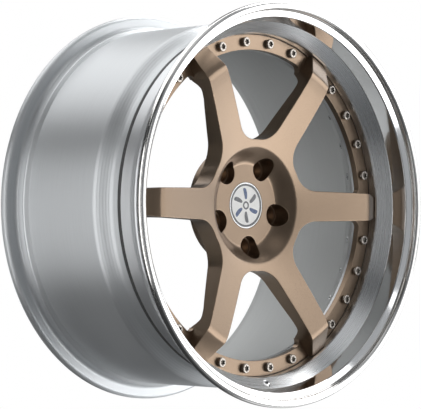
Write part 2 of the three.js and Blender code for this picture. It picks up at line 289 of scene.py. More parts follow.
def triangles(loop, inside, holes=()):
    """Triangles of a flat region bounded by a closed loop, through loose points inside it: (points, faces).
    holes are left open, each given as the loop of points round it."""
    points, edges = [], []
    for ring in (loop, *holes):
        first = len(points)
        points += ring
        edges += [(first + i, first + (i + 1) % len(ring)) for i in range(len(ring))]
    verts, _, faces, _, _, _ = delaunay_2d_cdt(points + inside, edges, [], 0, 1e-4, False)
    kept = []
    for face in faces:
        middle = (verts[face[0]] + verts[face[1]] + verts[face[2]]) / 3
        if inside_loop(middle, loop) and not any(inside_circle(middle, hole) for hole in holes):
            kept.append(face)
    return [(v.x, v.y) for v in verts], kept


def inside_loop(p, loop):
    crossed = False
    for a, b in zip(loop, loop[1:] + loop[:1]):
        if (a.y > p.y) != (b.y > p.y) and p.x < a.x + (p.y - a.y) * (b.x - a.x) / (b.y - a.y):
            crossed = not crossed
    return crossed


def inside_circle(p, ring):
    """Is a point inside a ring of points that lie evenly on a circle?"""
    centre = sum(ring, Vector((0, 0))) / len(ring)
    return (p - centre).length < (ring[0] - centre).length * math.cos(math.pi / len(ring))


# ---------------------------------------------------------------- node tools

class Look:
    """A material with a Principled shader, and short ways to add nodes to it."""

    def __init__(self, name, colour, roughness, metallic, **sockets):
        self.material = bpy.data.materials.new(name)
        self.material.use_nodes = True
        self.tree = self.material.node_tree
        self.shader = self.tree.nodes["Principled BSDF"]
        self.set("Base Color", (*colour, 1))
        self.set("Roughness", roughness)
        self.set("Metallic", metallic)
        for key, value in sockets.items():
            self.set(key.replace("_", " "), value)
        self.place = self.add("ShaderNodeTexCoord").outputs["Object"]
        self.height = None

    def set(self, socket, value):
        target = self.shader.inputs[socket]
        if isinstance(value, bpy.types.NodeSocket):
            self.tree.links.new(value, target)
        else:
            target.default_value = value

    def add(self, kind, inputs=None, **settings):
        node = self.tree.nodes.new(kind)
        for key, value in settings.items():
            setattr(node, key, value)
        for key, value in (inputs or {}).items():
            if isinstance(value, bpy.types.NodeSocket):
                self.tree.links.new(value, node.inputs[key])
            else:
                node.inputs[key].default_value = value
        return node

    def maths(self, operation, a, b=0.0, clamp=False):
        return self.add("ShaderNodeMath", {0: a, 1: b}, operation=operation, use_clamp=clamp).outputs[0]

    def ramp(self, value, low, high, to_low=0.0, to_high=1.0):
        """value from low to high, carried to another range and held inside it."""
        return self.add(
            "ShaderNodeMapRange",
            {"Value": value, "From Min": low, "From Max": high, "To Min": to_low, "To Max": to_high},
        ).outputs[0]

    def noise(self, scale, detail=3.0, rough=0.55, place=None):
        return self.add(
            "ShaderNodeTexNoise",
            {"Vector": place or self.place, "Scale": scale, "Detail": detail, "Roughness": rough},
        ).outputs[0]

    def mix(self, amount, a, b):
        node = self.add("ShaderNodeMix", data_type="RGBA")
        for socket, value in ((node.inputs[0], amount), (node.inputs[6], a), (node.inputs[7], b)):
            if isinstance(value, bpy.types.NodeSocket):
                self.tree.links.new(value, socket)
            else:
                socket.default_value = value if isinstance(value, float) else (*value, 1)
        return node.outputs[2]

    def bump(self, height, strength, depth):
        """Adds one more layer of fine relief. depth is in metres."""
        inputs = {"Strength": strength, "Distance": depth, "Height": height}
        if self.height:
            inputs["Normal"] = self.height
        self.height = self.add("ShaderNodeBump", inputs).outputs[0]
        self.set("Normal", self.height)

    def turned(self, across, round_it):
        """Coordinates round the wheel's axis: across is the scale over the profile, round_it along it."""
        x, y, z = (self.add("ShaderNodeSeparateXYZ", {0: self.place}).outputs[i] for i in range(3))
        squares = self.maths("ADD", self.maths("MULTIPLY", x, x), self.maths("MULTIPLY", z, z))
        radius = self.maths("SQRT", squares)
        angle = self.maths("ARCTAN2", z, x)
        return self.add("ShaderNodeCombineXYZ", {
            0: self.maths("MULTIPLY", radius, across),
            1: self.maths("MULTIPLY", y, across),
            2: self.maths("MULTIPLY", self.maths("SINE", angle), round_it),
        }).outputs[0]


# ---------------------------------------------------------------- materials

def bronze_look():
    """Satin bronze coat over forged aluminium: a fine metallic grain that sparkles a little."""
    look = Look("satin_bronze", (0.22, 0.16, 0.11), 0.34, 0.92)
    look.set("Coat Weight", 0.6)
    look.set("Coat Roughness", 0.34)
    grain = look.noise(2600, 2.0, 0.6)
    cloud = look.noise(14, 3.0)
    fleck = look.add("ShaderNodeTexVoronoi", {"Vector": look.place, "Scale": 2400.0}).outputs["Distance"]
    base = look.mix(look.ramp(cloud, 0.3, 0.7), (0.222, 0.154, 0.101), (0.246, 0.172, 0.113))
    base = look.mix(look.ramp(grain, 0.35, 0.7, 0.0, 0.5), base, (0.34, 0.245, 0.17))
    look.set("Base Color", base)
    look.set("Roughness", look.ramp(grain, 0.25, 0.75, 0.25, 0.36))
    look.bump(grain, 0.25, 0.00006)
    look.bump(fleck, 0.12, 0.00005)
    return look.material


def polished_look():
    """Mirror-polished aluminium with faint buffing lines round the wheel."""
    look = Look("polished_aluminium", (0.93, 0.93, 0.935), 0.06, 1.0)
    lines = look.noise(1.0, 4.0, 0.6, look.turned(2600.0, 9.0))
    haze = look.noise(22, 3.0)
    buffed = look.ramp(lines, 0.3, 0.75, 0.035, 0.085)
    hazed = look.ramp(haze, 0.4, 0.8, 0.0, 0.03)
    look.set("Roughness", look.maths("ADD", buffed, hazed))
    look.bump(lines, 0.05, 0.00002)
    return look.material


def machined_look(name, colour, roughness, spread, metallic=1.0, relief=0.10):
    """Turned aluminium: fine lines round the wheel that draw the light out across the profile."""
    look = Look(name, colour, roughness, metallic, Anisotropic=spread, Anisotropic_Rotation=0.25)
    tangent = look.add("ShaderNodeTangent", direction_type="RADIAL", axis="Y")
    look.set("Tangent", tangent.outputs[0])
    lines = look.noise(1.0, 5.0, 0.65, look.turned(1900.0, 3.0))
    cloud = look.noise(9, 3.0)
    dark, light = [c * 0.93 for c in colour], [min(1, c * 1.05) for c in colour]
    tone = look.mix(look.ramp(lines, 0.3, 0.7), dark, light)
    tone = look.mix(look.ramp(cloud, 0.35, 0.7, 0.0, 0.35), tone, [c * 0.95 for c in colour])
    look.set("Base Color", tone)
    look.set("Roughness", look.ramp(lines, 0.25, 0.75, roughness - 0.04, roughness + 0.06))
    look.bump(lines, relief, 0.00003)
    return look.material


def steel_look(name, colour, roughness):
    """Bright fastener steel with light handling marks."""
    look = Look(name, colour, roughness, 1.0)
    marks = look.noise(900, 4.0, 0.7)
    look.set("Roughness", look.ramp(marks, 0.3, 0.75, roughness * 0.7, roughness * 1.5))
    look.set("Base Color", look.mix(look.ramp(marks, 0.45, 0.8), colour, [c * 0.86 for c in colour]))
    look.bump(marks, 0.06, 0.00003)
    return look.material


def sealant_look():
    """Cured dark sealant, slightly rubbery, with a smeared surface."""
    look = Look("cured_sealant", (0.055, 0.055, 0.056), 0.5, 0.0)
    smear = look.noise(180, 4.0, 0.6)
    tone = look.mix(look.ramp(smear, 0.3, 0.75), (0.045, 0.045, 0.046), (0.075, 0.075, 0.074))
    look.set("Base Color", tone)
    look.set("Roughness", look.ramp(smear, 0.3, 0.7, 0.38, 0.62))
    look.bump(smear, 0.3, 0.0002)
    return look.material


def enamel_look(name, colour, other):
    """Hard gloss enamel with a trace of orange peel under a clear coat."""
    look = Look(name, colour, 0.3, 0.0)
    look.set("Coat Weight", 0.6)
    look.set("Coat Roughness", 0.06)
    peel = look.noise(420, 2.0)
    look.set("Base Color", look.mix(look.ramp(peel, 0.35, 0.7), colour, other))
    look.set("Roughness", look.ramp(peel, 0.3, 0.7, 0.24, 0.36))
    look.bump(peel, 0.05, 0.00005)
    return look.material


BRONZE = bronze_look()
POLISHED = polished_look()
LIP_BACK = machined_look("turned_lip_back", (0.72, 0.735, 0.75), 0.38, 0.6, 0.85)
CONE = machined_look("brushed_cone", (0.86, 0.875, 0.89), 0.27, 0.4, relief=0.04)
NOSE = machined_look("satin_lip_nose", (0.90, 0.89, 0.875), 0.17, 0.3, relief=0.04)
BARREL = machined_look("satin_barrel", (0.66, 0.68, 0.695), 0.42, 0.6, 0.75)
INSIDE = machined_look("barrel_inside", (0.60, 0.615, 0.615), 0.55, 0.1, 0.25)
BOLT_STEEL = steel_look("polished_bolt_steel", (0.46, 0.42, 0.38), 0.24)
# The star socket uses the bolt steel darkened to about a third. This is painted shade for the recess, not a
# different metal.
SOCKET_PAINTED_SHADE = steel_look("bolt_socket_painted_shade", (0.14, 0.125, 0.11), 0.4)
NUT_STEEL = steel_look("zinc_nut_steel", (0.72, 0.73, 0.74), 0.24)
SPRING_STEEL = steel_look("spring_wire_steel", (0.45, 0.45, 0.46), 0.28)
SEALANT = sealant_look()
CAP_METAL = machined_look("cap_aluminium", (0.76, 0.765, 0.77), 0.2, 0.4)
ENAMEL_WHITE = enamel_look("badge_white_enamel", (0.90, 0.89, 0.87), (0.86, 0.85, 0.83))
ENAMEL_BLUE = enamel_look("badge_blue_enamel", (0.045, 0.085, 0.20), (0.055, 0.10, 0.235))
ENAMEL_GREY = enamel_look("badge_graphite_enamel", (0.10, 0.105, 0.115), (0.13, 0.135, 0.145))


# ---------------------------------------------------------------- rim halves

RIM_STEPS = 288
NOSE_R = FLANGE_R - 11.2                  # inside of the lip's half-round nose
NOSE_BEAD = 5.7                           # radius of the nose
COVE = (NOSE_R, FACE_Y + 8.4)             # where the nose turns into the cove behind it
THROAT = (251.4, FACE_Y + 12.2)           # where the cove meets the polished step
VALVE_ALONG = 0.52                        # place of the valve hole along the cone


def tyre_flange(side, open_side, tyre_side):
    """Corners of one tyre flange, from its foot on the tyre's side to its rim on the open side."""
    end = side * BACK_Y
    tyre_face = side * TYRE_FACE
    return [
        (BEAD_SEAT_R, tyre_face, 5, tyre_side),
        (FLANGE_R - 2.5, tyre_face, 4.5, tyre_side),
        (FLANGE_R, tyre_face + side * 4, 3, open_side),
        (FLANGE_R, end, 4.8, open_side),
    ]


def outer_lip():
    polish, back, cone, nose = 0, 1, 2, 3
    materials = [POLISHED, LIP_BACK, CONE, NOSE]
    corners = [
        *tyre_flange(-1, nose, back),
        (NOSE_R, FACE_Y, NOSE_BEAD, nose),
        (*COVE, 2.4, polish),
        (*THROAT, 2.5, polish),
        (*CONE_OUTER, 2.5, cone),
        (*CONE_INNER, 0.7, cone),
        (POCKET_R, CONE_INNER[1] + 2, 0.4, cone),
        (POCKET_R, RING_BACK + GAP, 0.5, back),
        (RIM_FLANGE_R, RING_BACK + GAP, 0.3, back),
        (RIM_FLANGE_R, JOINT_Y - GAP, 0.3, back),
        (WELL_R - SEAL_DEPTH, JOINT_Y - GAP, 0, back),
        (WELL_R, JOINT_Y - GAP - SEAL_DEPTH, 0.6, back),
        (WELL_R, CONE_INNER[1] + 2.2, 14, back),
        (CONE_OUTER[0] + WALL, CONE_OUTER[1] + 3, 5, back),
        (BEAD_SEAT_R + 0.2, CONE_OUTER[1] - 2.6, 2, back),
        (BEAD_SEAT_R - 0.6, CONE_OUTER[1] - 5.4, 2.5, back),
    ]
    mesh = lathe(rounded(corners), RIM_STEPS).mesh("outer_lip_mesh")
    mesh = joined(mesh, valve_cutter(), materials, "DIFFERENCE")
    return piece("polished_outer_lip", mesh, "wheel", materials, "polished_lip", ["outer_lip"])


def valve_cutter():
    """The valve hole, square to the cone, at the bottom of the wheel."""
    along = Vector(CONE_INNER) - Vector(CONE_OUTER)
    middle = Vector(CONE_OUTER) + along * VALVE_ALONG
    tilt = -math.atan2(along.y, -along.x)
    outline = [(0, -8), (6.5, -8), (6.5, 0), (6.15, 0.25), (5.85, 0.7), (5.75, 1.3), (5.75, 16), (0, 16)]
    cutter = lathe([(r, y, 0) for r, y in outline], 48, closed=False).mesh("valve_cutter")
    cutter.transform(Matrix.Translation((0, middle.y * MM, -middle.x * MM)) @ Matrix.Rotation(tilt, 4, "X"))
    return cutter


def inner_barrel():
    outside, inside = 0, 1
    rise_start, rise_end = -51, -22
    rear_seat_end = 109
    back = JOINT_Y + RIM_FLANGE_THICK
    inner_r = BARREL_R - WALL
    corners = [
        (WELL_R - SEAL_DEPTH, JOINT_Y, 0, inside),
        (RIM_FLANGE_R, JOINT_Y, 0.3, inside),
        (RIM_FLANGE_R, back, 0.5, inside),
        (WELL_R - WALL, back, 3, inside),
        (WELL_R - WALL, rise_start + 1, 12, inside),
        (inner_r, rise_end + 1, 16, inside),
        (inner_r, 112, 0.8, inside),
        (inner_r + 0.7, 113, 0.8, inside),
        (inner_r + 0.7, 123, 8, inside),
        (inner_r + 3.2, BACK_Y - 4, 3, inside),
        (FLANGE_R - 7.2, BACK_Y, 5.2, outside),
        *reversed(tyre_flange(1, outside, outside)),
        (BEAD_SEAT_R - 1.0, rear_seat_end + 5.5, 2, outside),
        (BEAD_SEAT_R - 0.2, rear_seat_end + 3.6, 1.5, outside),
        (BEAD_SEAT_R - 0.9, rear_seat_end + 1.4, 1.2, outside),
        (BARREL_R, rear_seat_end - 3.5, 2.5, outside),
    ]
    outline = rounded(corners, closed=False)
    outline += well_outline(rise_end, rise_start, outside)
    outline.append((WELL_R, JOINT_Y + SEAL_DEPTH, outside))
    mesh = lathe(outline, RIM_STEPS).mesh("inner_barrel_mesh")
    return piece("satin_inner_barrel", mesh, "wheel", [BARREL, INSIDE], "barrel", ["inner_barrel"])


def well_outline(top, bottom, zone):
    """The rise from the barrel down to the well, an S curve with fine turned ripples on it."""
    ripple, pitch, steps = 0.07, 3.6, 96
    outline = []
    for i in range(steps + 1):
        t = i / steps
        y = top + (bottom - top) * t
        ease = t * t * (3 - 2 * t)
        fade = min(1, 6 * t, 6 * (1 - t))
        r = BARREL_R + (WELL_R - BARREL_R) * ease + ripple * fade * math.sin(TAU * (y - top) / pitch)
        outline.append((r, y, zone))
    return outline


def sealant_bead():
    """The bead in the groove between the rim halves, laid a little unevenly."""
    count = RIM_STEPS
    floor = WELL_R - SEAL_DEPTH + 2 * GAP
    middle = JOINT_Y - GAP / 2
    half = SEAL_DEPTH - 0.2
    profile = [(-1.0, 0.0), (-0.96, 0.55), (-0.7, 0.86), (-0.35, 1.0), (0.0, 1.04),
               (0.35, 1.0), (0.7, 0.86), (0.96, 0.55), (1.0, 0.0)]
    rows = []
    for across, up in profile:
        row = []
        for i in range(count):
            angle = TAU * i / count
            wave = 0.5 * math.sin(7 * angle + 1) + 0.3 * math.sin(17 * angle) + 0.2 * math.sin(41 * angle + 2)
            radius = WELL_R - 0.5 + up * (0.85 + 0.1 * wave)
            row.append(_flat(radius, angle, middle + across * (half + 0.12 * wave)))
        rows.append(row)
    rows.append(round_row(floor, middle, count))
    rows.append(rows[0])
    shell = Shell()
    shell.grid(rows, closed=True)
    mesh = shell.mesh("sealant_mesh", 60)
    return piece("sealant_ring", mesh, "wheel", [SEALANT], "sealant", ["sealant_bead"])


# ---------------------------------------------------------------- centre disc, plan

SIDE_ROOT = (130, 20.7)                   # half width of a spoke at three distances along it
SIDE_BEND = (202, 19.1)
SIDE_END = (231.8, 15)
SIDE_SLOPE = (SIDE_BEND[1] - SIDE_ROOT[1]) / (SIDE_BEND[0] - SIDE_ROOT[0])
SECTOR = TAU / SPOKES / 2                 # from a spoke's centreline to the middle of a window
ZONE_STEPS = 360                          # points on the circle where the bowl meets the spokes
SPOKE_END_R = DISC_R - 0.2

# Height of the disc's front and back along a spoke, as (radius, y).
FRONT = [
    (30, BOWL_Y), (56, BOWL_Y), (59, BOWL_Y - 1.2), (76.3, -72.6), (79.6, -75.2), (84, -76.5),
    (90, -78.1), (119, -85.4), (146, -92.0), (172, -97.9), (188, -101.0), (196, -102.0),
    (201.5, -101.6), (207, -99.2), (214, -95.1), (231.8, -84.9),
]
REAR = [
    (84, -45.0), (88, -46.8), (104, -53.0), (130, -62.3), (160, -73.2), (176, -78.9),
    (186, -80.6), (193, -76.5), (199, -69.8), (203, -67.2), (231.8, -67.2),
]


def curve_through(knots):
    """A smooth function through (x, y) knots that doesn't overshoot between them."""
    slopes = [(b[1] - a[1]) / (b[0] - a[0]) for a, b in zip(knots, knots[1:])]
    ends = [slopes[0]]
    for left, right in zip(slopes, slopes[1:]):
        ends.append(0 if left * right <= 0 else 2 * left * right / (left + right))
    ends.append(slopes[-1])

    def value(x):
        x = min(max(x, knots[0][0]), knots[-1][0])
        i = max(k for k in range(len(knots) - 1) if knots[k][0] <= x)
        (x0, y0), (x1, y1) = knots[i], knots[i + 1]
        span = x1 - x0
        t = (x - x0) / span
        return (
            y0 * (1 + 2 * t) * (1 - t) ** 2
            + ends[i] * span * t * (1 - t) ** 2
            + y1 * t * t * (3 - 2 * t)
            + ends[i + 1] * span * t * t * (t - 1)
        )

    return value


front_at = curve_through(FRONT)
rear_at = curve_through(REAR)


def eased(distance, edge):
    """How far a face has dropped at a distance from its edge, for a quarter-round edge."""
    if distance >= edge:
        return 0.0
    return edge - math.sqrt(max(edge * edge - (edge - distance) ** 2, 0))


def side_at(along):
    return SIDE_ROOT[1] + SIDE_SLOPE * (along - SIDE_ROOT[0])


def fillet_centre(fillet, distance):
    """Centre of a fillet that touches a spoke's side and lies at a distance from the wheel's axis."""
    offset = side_at(0) + fillet * math.hypot(1, SIDE_SLOPE)
    a = 1 + SIDE_SLOPE ** 2
    b = offset * SIDE_SLOPE
    along = (-b + math.sqrt(b * b - a * (offset * offset - distance * distance))) / a
    return Vector((along, offset + SIDE_SLOPE * along))


def arc(centre, radius, start, end, steps):
    return [Vector(polar(radius, a)) + centre for a in spaced(start, end, steps)]


def line(a, b, steps):
    a, b = Vector(a), Vector(b)
    return [a + (b - a) * t for t in spaced(0, 1, steps)]


TOUCH = -math.pi / 2 + math.atan(SIDE_SLOPE)      # bearing from a fillet's centre to the spoke's side


def spoke_edge():
    """Half a spoke's outline, from the middle of the window's foot to the outer end."""
    centre = fillet_centre(HUB_FILLET, HUB_R + HUB_FILLET)
    bearing = math.atan2(centre.y, centre.x)
    hub = arc(Vector((0, 0)), HUB_R, SECTOR, bearing, 5)
    fillet = arc(centre, HUB_FILLET, bearing - math.pi, TOUCH, 30)
    bend_start = SIDE_BEND[0] - 8
    near_bend = (bend_start, side_at(bend_start))
    end = Vector(SIDE_END)
    end *= SPOKE_END_R / end.length
    side = line(fillet[-1], near_bend, 24)
    return hub + fillet[1:] + side[1:] + line(near_bend, SIDE_BEND, 6)[1:] + line(SIDE_BEND, end, 16)[1:]


def ring_edge():
    """Half a window's outer edge, from inside the spoke round the corner fillet to the window's middle."""
    centre = fillet_centre(CORNER_FILLET, RING_INNER_R - CORNER_FILLET)
    bearing = math.atan2(centre.y, centre.x)
    corner = arc(centre, CORNER_FILLET, TOUCH, bearing, 14)
    hidden = line((corner[0].x + 1.5, 0), corner[0] + Vector((1.5, -4)), 3)
    return hidden + corner + arc(Vector((0, 0)), RING_INNER_R, bearing, SECTOR, 12)[1:]


def shifted(outline, distance):
    """An outline's points moved sideways, to the left of its direction."""
    row = []
    for i, p in enumerate(outline):
        way = (outline[min(i + 1, len(outline) - 1)] - outline[max(i - 1, 0)]).normalized()
        row.append(p + Vector((-way.y, way.x)) * distance)
    return row[1:-1]


def distance_to(p, outline):
    best = 1e9
    for a, b in zip(outline, outline[1:]):
        span = b - a
        t = min(max((p - a).dot(span) / span.length_squared, 0), 1)
        best = min(best, (p - a - span * t).length_squared)
    return math.sqrt(best)


def edge_rows(edge):
    """How far in from an edge the rows of points of its rounding lie."""
    return [edge * (1 - math.cos(math.radians(turn))) for turn in (20, 42, 65, 90)]


def edged(profile, outlines, edge, side):
    """The height of a face over its plan, with rounded edges along its outlines. side is +1 for a
    front face, which drops to +Y at an edge, and -1 for a back one."""
    def height(p):
        depth = min(distance_to(p, outline) for outline in outlines)
        return profile(p.length) + side * eased(depth if depth > 0.004 else 0.0, edge)
    return height


def around(shell_face):
    """Calls a function for each half spoke round the wheel, with the map that carries a point there."""
    for k in range(SPOKES):
        c, s = math.cos(TAU * k / SPOKES), math.sin(TAU * k / SPOKES)
        for mirror in (1, -1):
            shell_face(lambda x, y, z: (x * c - mirror * z * s, y, x * s + mirror * z * c))


def sector_face(shell, loop, rounded_edges, extra, height, edge):
    """Half a spoke's worth of a face with rounded edges, repeated round the wheel. loop bounds it in
    plan, and each rounded edge is an outline with +1 or -1 for the side of it the face lies on."""
    outlines = [outline for outline, _ in rounded_edges]
    inner = []
    for outline, inward in rounded_edges:
        for depth in edge_rows(edge):
            inner += [p for p in shifted(outline, inward * depth) if inside_loop(p, loop)]
    clear = edge + 0.9
    for p in extra:
        if inside_loop(p, loop) and min(distance_to(p, o) for o in outlines) > clear:
            inner.append(p)
    inner = [p for p in inner if p.y > 0.15 and SECTOR - math.atan2(p.y, p.x) > 0.15 / p.length]
    points, faces = triangles(loop, inner)
    raised = [(x, height(Vector((x, z))), z) for x, z in points]
    around(lambda carry: [shell.face([carry(*raised[i]) for i in face]) for face in faces])


def sector_wall(shell, outline, front, rear, steps=3):
    """The wall under an outline, between the two faces, repeated round the wheel."""
    rows = [[(p.x, front(p) * (1 - t) + rear(p) * t, p.y) for p in outline] for t in spaced(0, 1, steps)]
    around(lambda carry: shell.grid([[carry(*p) for p in row] for row in rows]))


def scatter(low, high, step, fine=None):
    """Loose points over a sector, closer together between two radii."""
    points = []
    r = low
    while r < high:
        count = max(2, round(r * SECTOR / 3.6))
        points += [Vector(polar(r, SECTOR * i / count)) for i in range(1, count)]
        r += 1.3 if fine and fine[0] < r < fine[1] else step
    return points


def disc_body():
    """Hub and spokes in one shell, with the bowl, the lug holes, the cap's seat and the mounting pad."""
    shell = Shell()
    outline = spoke_edge()
    zone = [Vector(polar(RIM_ZONE_R, TAU * i / ZONE_STEPS)) for i in range(ZONE_STEPS // SPOKES // 2 + 1)]
    end_angle = math.atan2(outline[-1].y, outline[-1].x)
    centre_line = line((RIM_ZONE_R, 0), (SPOKE_END_R, 0), 70)
    end = arc(Vector((0, 0)), SPOKE_END_R, 0, end_angle, 6)
    extra = scatter(RIM_ZONE_R + 2.4, SPOKE_END_R - 0.8, 3.2, fine=(188, 214))
    front = edged(front_at, [outline], EDGE, 1)
    rear = edged(rear_at, [outline], BACK_EDGE, -1)
    for height, edge in ((front, EDGE), (rear, BACK_EDGE)):
        seam = [Vector(polar(HUB_R - depth, SECTOR)) for depth in edge_rows(edge)]
        loop = zone[::-1] + centre_line[1:] + end[1:] + outline[::-1][1:] + seam
        sector_face(shell, loop, [(outline, -1)], extra, height, edge)
    sector_wall(shell, outline, front, rear, 4)
    sector_wall(shell, end, front, rear, 4)
    hub_front(shell)
    lug_holes(shell)
    hub_rear(shell)
    return shell.mesh("disc_body")


def circle(centre, radius, count, start=0.0):
    return [Vector(polar(radius, start + TAU * i / count)) + centre for i in range(count)]


LUG_STEPS = 64
BORE_STEPS = 120


def hub_front(shell):
    """The bowl round the centre cap, with rounded rims on the five lug pockets."""
    outer = circle(Vector((0, 0)), RIM_ZONE_R, ZONE_STEPS)
    seat = circle(Vector((0, 0)), CAP_RECESS_R + 0.3, BORE_STEPS)
    centres = [Vector(polar(LUG_CIRCLE_R, a)) for a in LUG_ANGLES]
    pockets = [circle(c, LUG_POCKET_R, LUG_STEPS, a) for c, a in zip(centres, LUG_ANGLES)]
    inner = []
    for c, a in zip(centres, LUG_ANGLES):
        for turn in (20, 45, 90):
            inner += circle(c, LUG_POCKET_R + LUG_EDGE * (1 - math.cos(math.radians(turn))), LUG_STEPS, a)
    r = CAP_RECESS_R + 1.6
    while r < RIM_ZONE_R - 0.6:
        count = round(TAU * r / 2.6)
        for p in circle(Vector((0, 0)), r, count, 0.01):
            if min((p - c).length for c in centres) > LUG_POCKET_R + LUG_EDGE + 0.7:
                inner.append(p)
        r += 0.9 if 54 < r < 61 or 74 < r < 83 else 2.3
    points, faces = triangles(outer, inner, [seat, *pockets])
    for face in faces:
        corners = []
        for i in face:
            p = Vector(points[i])
            depth = min((p - c).length for c in centres) - LUG_POCKET_R
            corners.append((p.x, front_at(p.length) + eased(max(depth, 0), LUG_EDGE), p.y))
        shell.face(corners)
    rows = [
        (CAP_RECESS_R + 0.3, BOWL_Y), (CAP_RECESS_R, BOWL_Y + 0.3),
        (CAP_RECESS_R, CAP_RECESS_FLOOR), (CAP_BORE_R + 0.3, CAP_RECESS_FLOOR),
        (CAP_BORE_R, CAP_RECESS_FLOOR + 0.3), (CAP_BORE_R, HUB_BORE_END),
        (HUB_BORE_R, HUB_BORE_END), (HUB_BORE_R, PAD_Y - 1.2), (HUB_BORE_R + 1.2, PAD_Y),
    ]
    shell.grid([round_row(r, y, BORE_STEPS) for r, y in rows], closed=True)


def lug_holes(shell):
    """Pocket wall, shoulder, cone seat and hole of each lug."""
    cone_end = LUG_SEAT_Y + (LUG_SEAT_R - LUG_HOLE_R) / math.tan(math.radians(30))
    for angle in LUG_ANGLES:
        cx, cz = polar(LUG_CIRCLE_R, angle)
        top = []
        for p in circle(Vector((cx, cz)), LUG_POCKET_R, LUG_STEPS, angle):
            top.append((p.x, front_at(p.length) + LUG_EDGE, p.y))
        rows = [top]
        for r, y in [
            (LUG_POCKET_R, LUG_SEAT_Y - 0.8), (LUG_POCKET_R - 0.25, LUG_SEAT_Y - 0.25),
            (LUG_POCKET_R - 0.8, LUG_SEAT_Y), (LUG_SEAT_R, LUG_SEAT_Y), (LUG_HOLE_R, cone_end),
            (LUG_HOLE_R, PAD_Y - 0.7), (LUG_HOLE_R + 0.7, PAD_Y),
        ]:
            rows.append(moved(round_row(r, y, LUG_STEPS), LUG_CIRCLE_R, angle))
        shell.grid(rows, closed=True)


def hub_rear(shell):
    """The mounting pad and the step round it."""
    steps = [(RIM_ZONE_R, rear_at(RIM_ZONE_R)), (82.2, -43.9), (79.6, -41.2), (78.3, -39.0), (PAD_R, -37.5),
             (PAD_R, PAD_Y - 1.0), (PAD_R - 0.3, PAD_Y - 0.3), (PAD_R - 1.0, PAD_Y)]
    shell.grid([round_row(r, y, ZONE_STEPS) for r, y in steps], closed=True)
    outer = circle(Vector((0, 0)), PAD_R - 1.0, ZONE_STEPS)
    bore = circle(Vector((0, 0)), HUB_BORE_R + 1.2, BORE_STEPS)
    holes = [
        circle(Vector(polar(LUG_CIRCLE_R, a)), LUG_HOLE_R + 0.7, LUG_STEPS, a)
        for a in LUG_ANGLES
    ]
    points, faces = triangles(outer, [], [bore, *holes])
    for face in faces:
        shell.face([(points[i][0], PAD_Y, points[i][1]) for i in face])


def rim_ring():
    """The flat ring the spokes end in, which the assembly bolts go through."""
    shell = Shell()
    edge = 0.5
    inner = ring_edge()
    outer = arc(Vector((0, 0)), DISC_R, 0, SECTOR, 30)
    front = edged(lambda r: RING_FACE, [inner, outer], edge, 1)
    rear = edged(lambda r: RING_BACK, [inner, outer], edge, -1)
    window_seam = [Vector(polar(RING_INNER_R + depth, SECTOR)) for depth in edge_rows(edge)]
    window_seam += [Vector(polar(DISC_R - depth, SECTOR)) for depth in edge_rows(edge)[::-1]]
    spoke_seam = [Vector((DISC_R - depth, 0)) for depth in edge_rows(edge)]
    loop = inner + window_seam + outer[::-1] + spoke_seam
    for height in (front, rear):
        sector_face(shell, loop, [(inner, -1), (outer, 1)], scatter(203, DISC_R, 3.0), height, edge)
    for outline in (inner, outer):
        sector_wall(shell, outline, front, rear, 1)
    return shell.mesh("disc_ring")


def joined(a, b, materials, operation="UNION"):
    """The boolean of two meshes, as one mesh."""
    held = []
    for mesh in (a, b):
        for material in materials:
            mesh.materials.append(material)
        made = bpy.data.objects.new("for_boolean", mesh)
        bpy.context.scene.collection.objects.link(made)
        held.append(made)
    modifier = held[0].modifiers.new("boolean", "BOOLEAN")
    modifier.operation = operation
    modifier.solver = "MANIFOLD"
    modifier.object = held[1]
    bpy.context.view_layer.update()
    graph = bpy.context.evaluated_depsgraph_get()
    result = bpy.data.meshes.new_from_object(held[0].evaluated_get(graph))
    for made in held:
        bpy.data.objects.remove(made)
    smooth(result)
    return result


def centre_disc():
    mesh = joined(disc_body(), rim_ring(), [BRONZE])
    return piece("bronze_centre_disc", mesh, "wheel", [BRONZE], "bronze", ["centre_disc"])


# ---------------------------------------------------------------- fasteners

FASTENER_STEPS = 60


def star_row(radius, swing, y, lobes=6):
    """A ring of points that swells into lobes."""
    row = []
    for i in range(FASTENER_STEPS):
        angle = TAU * i / FASTENER_STEPS
        row.append(_flat(radius + swing * math.cos(lobes * angle), angle, y))
    return row


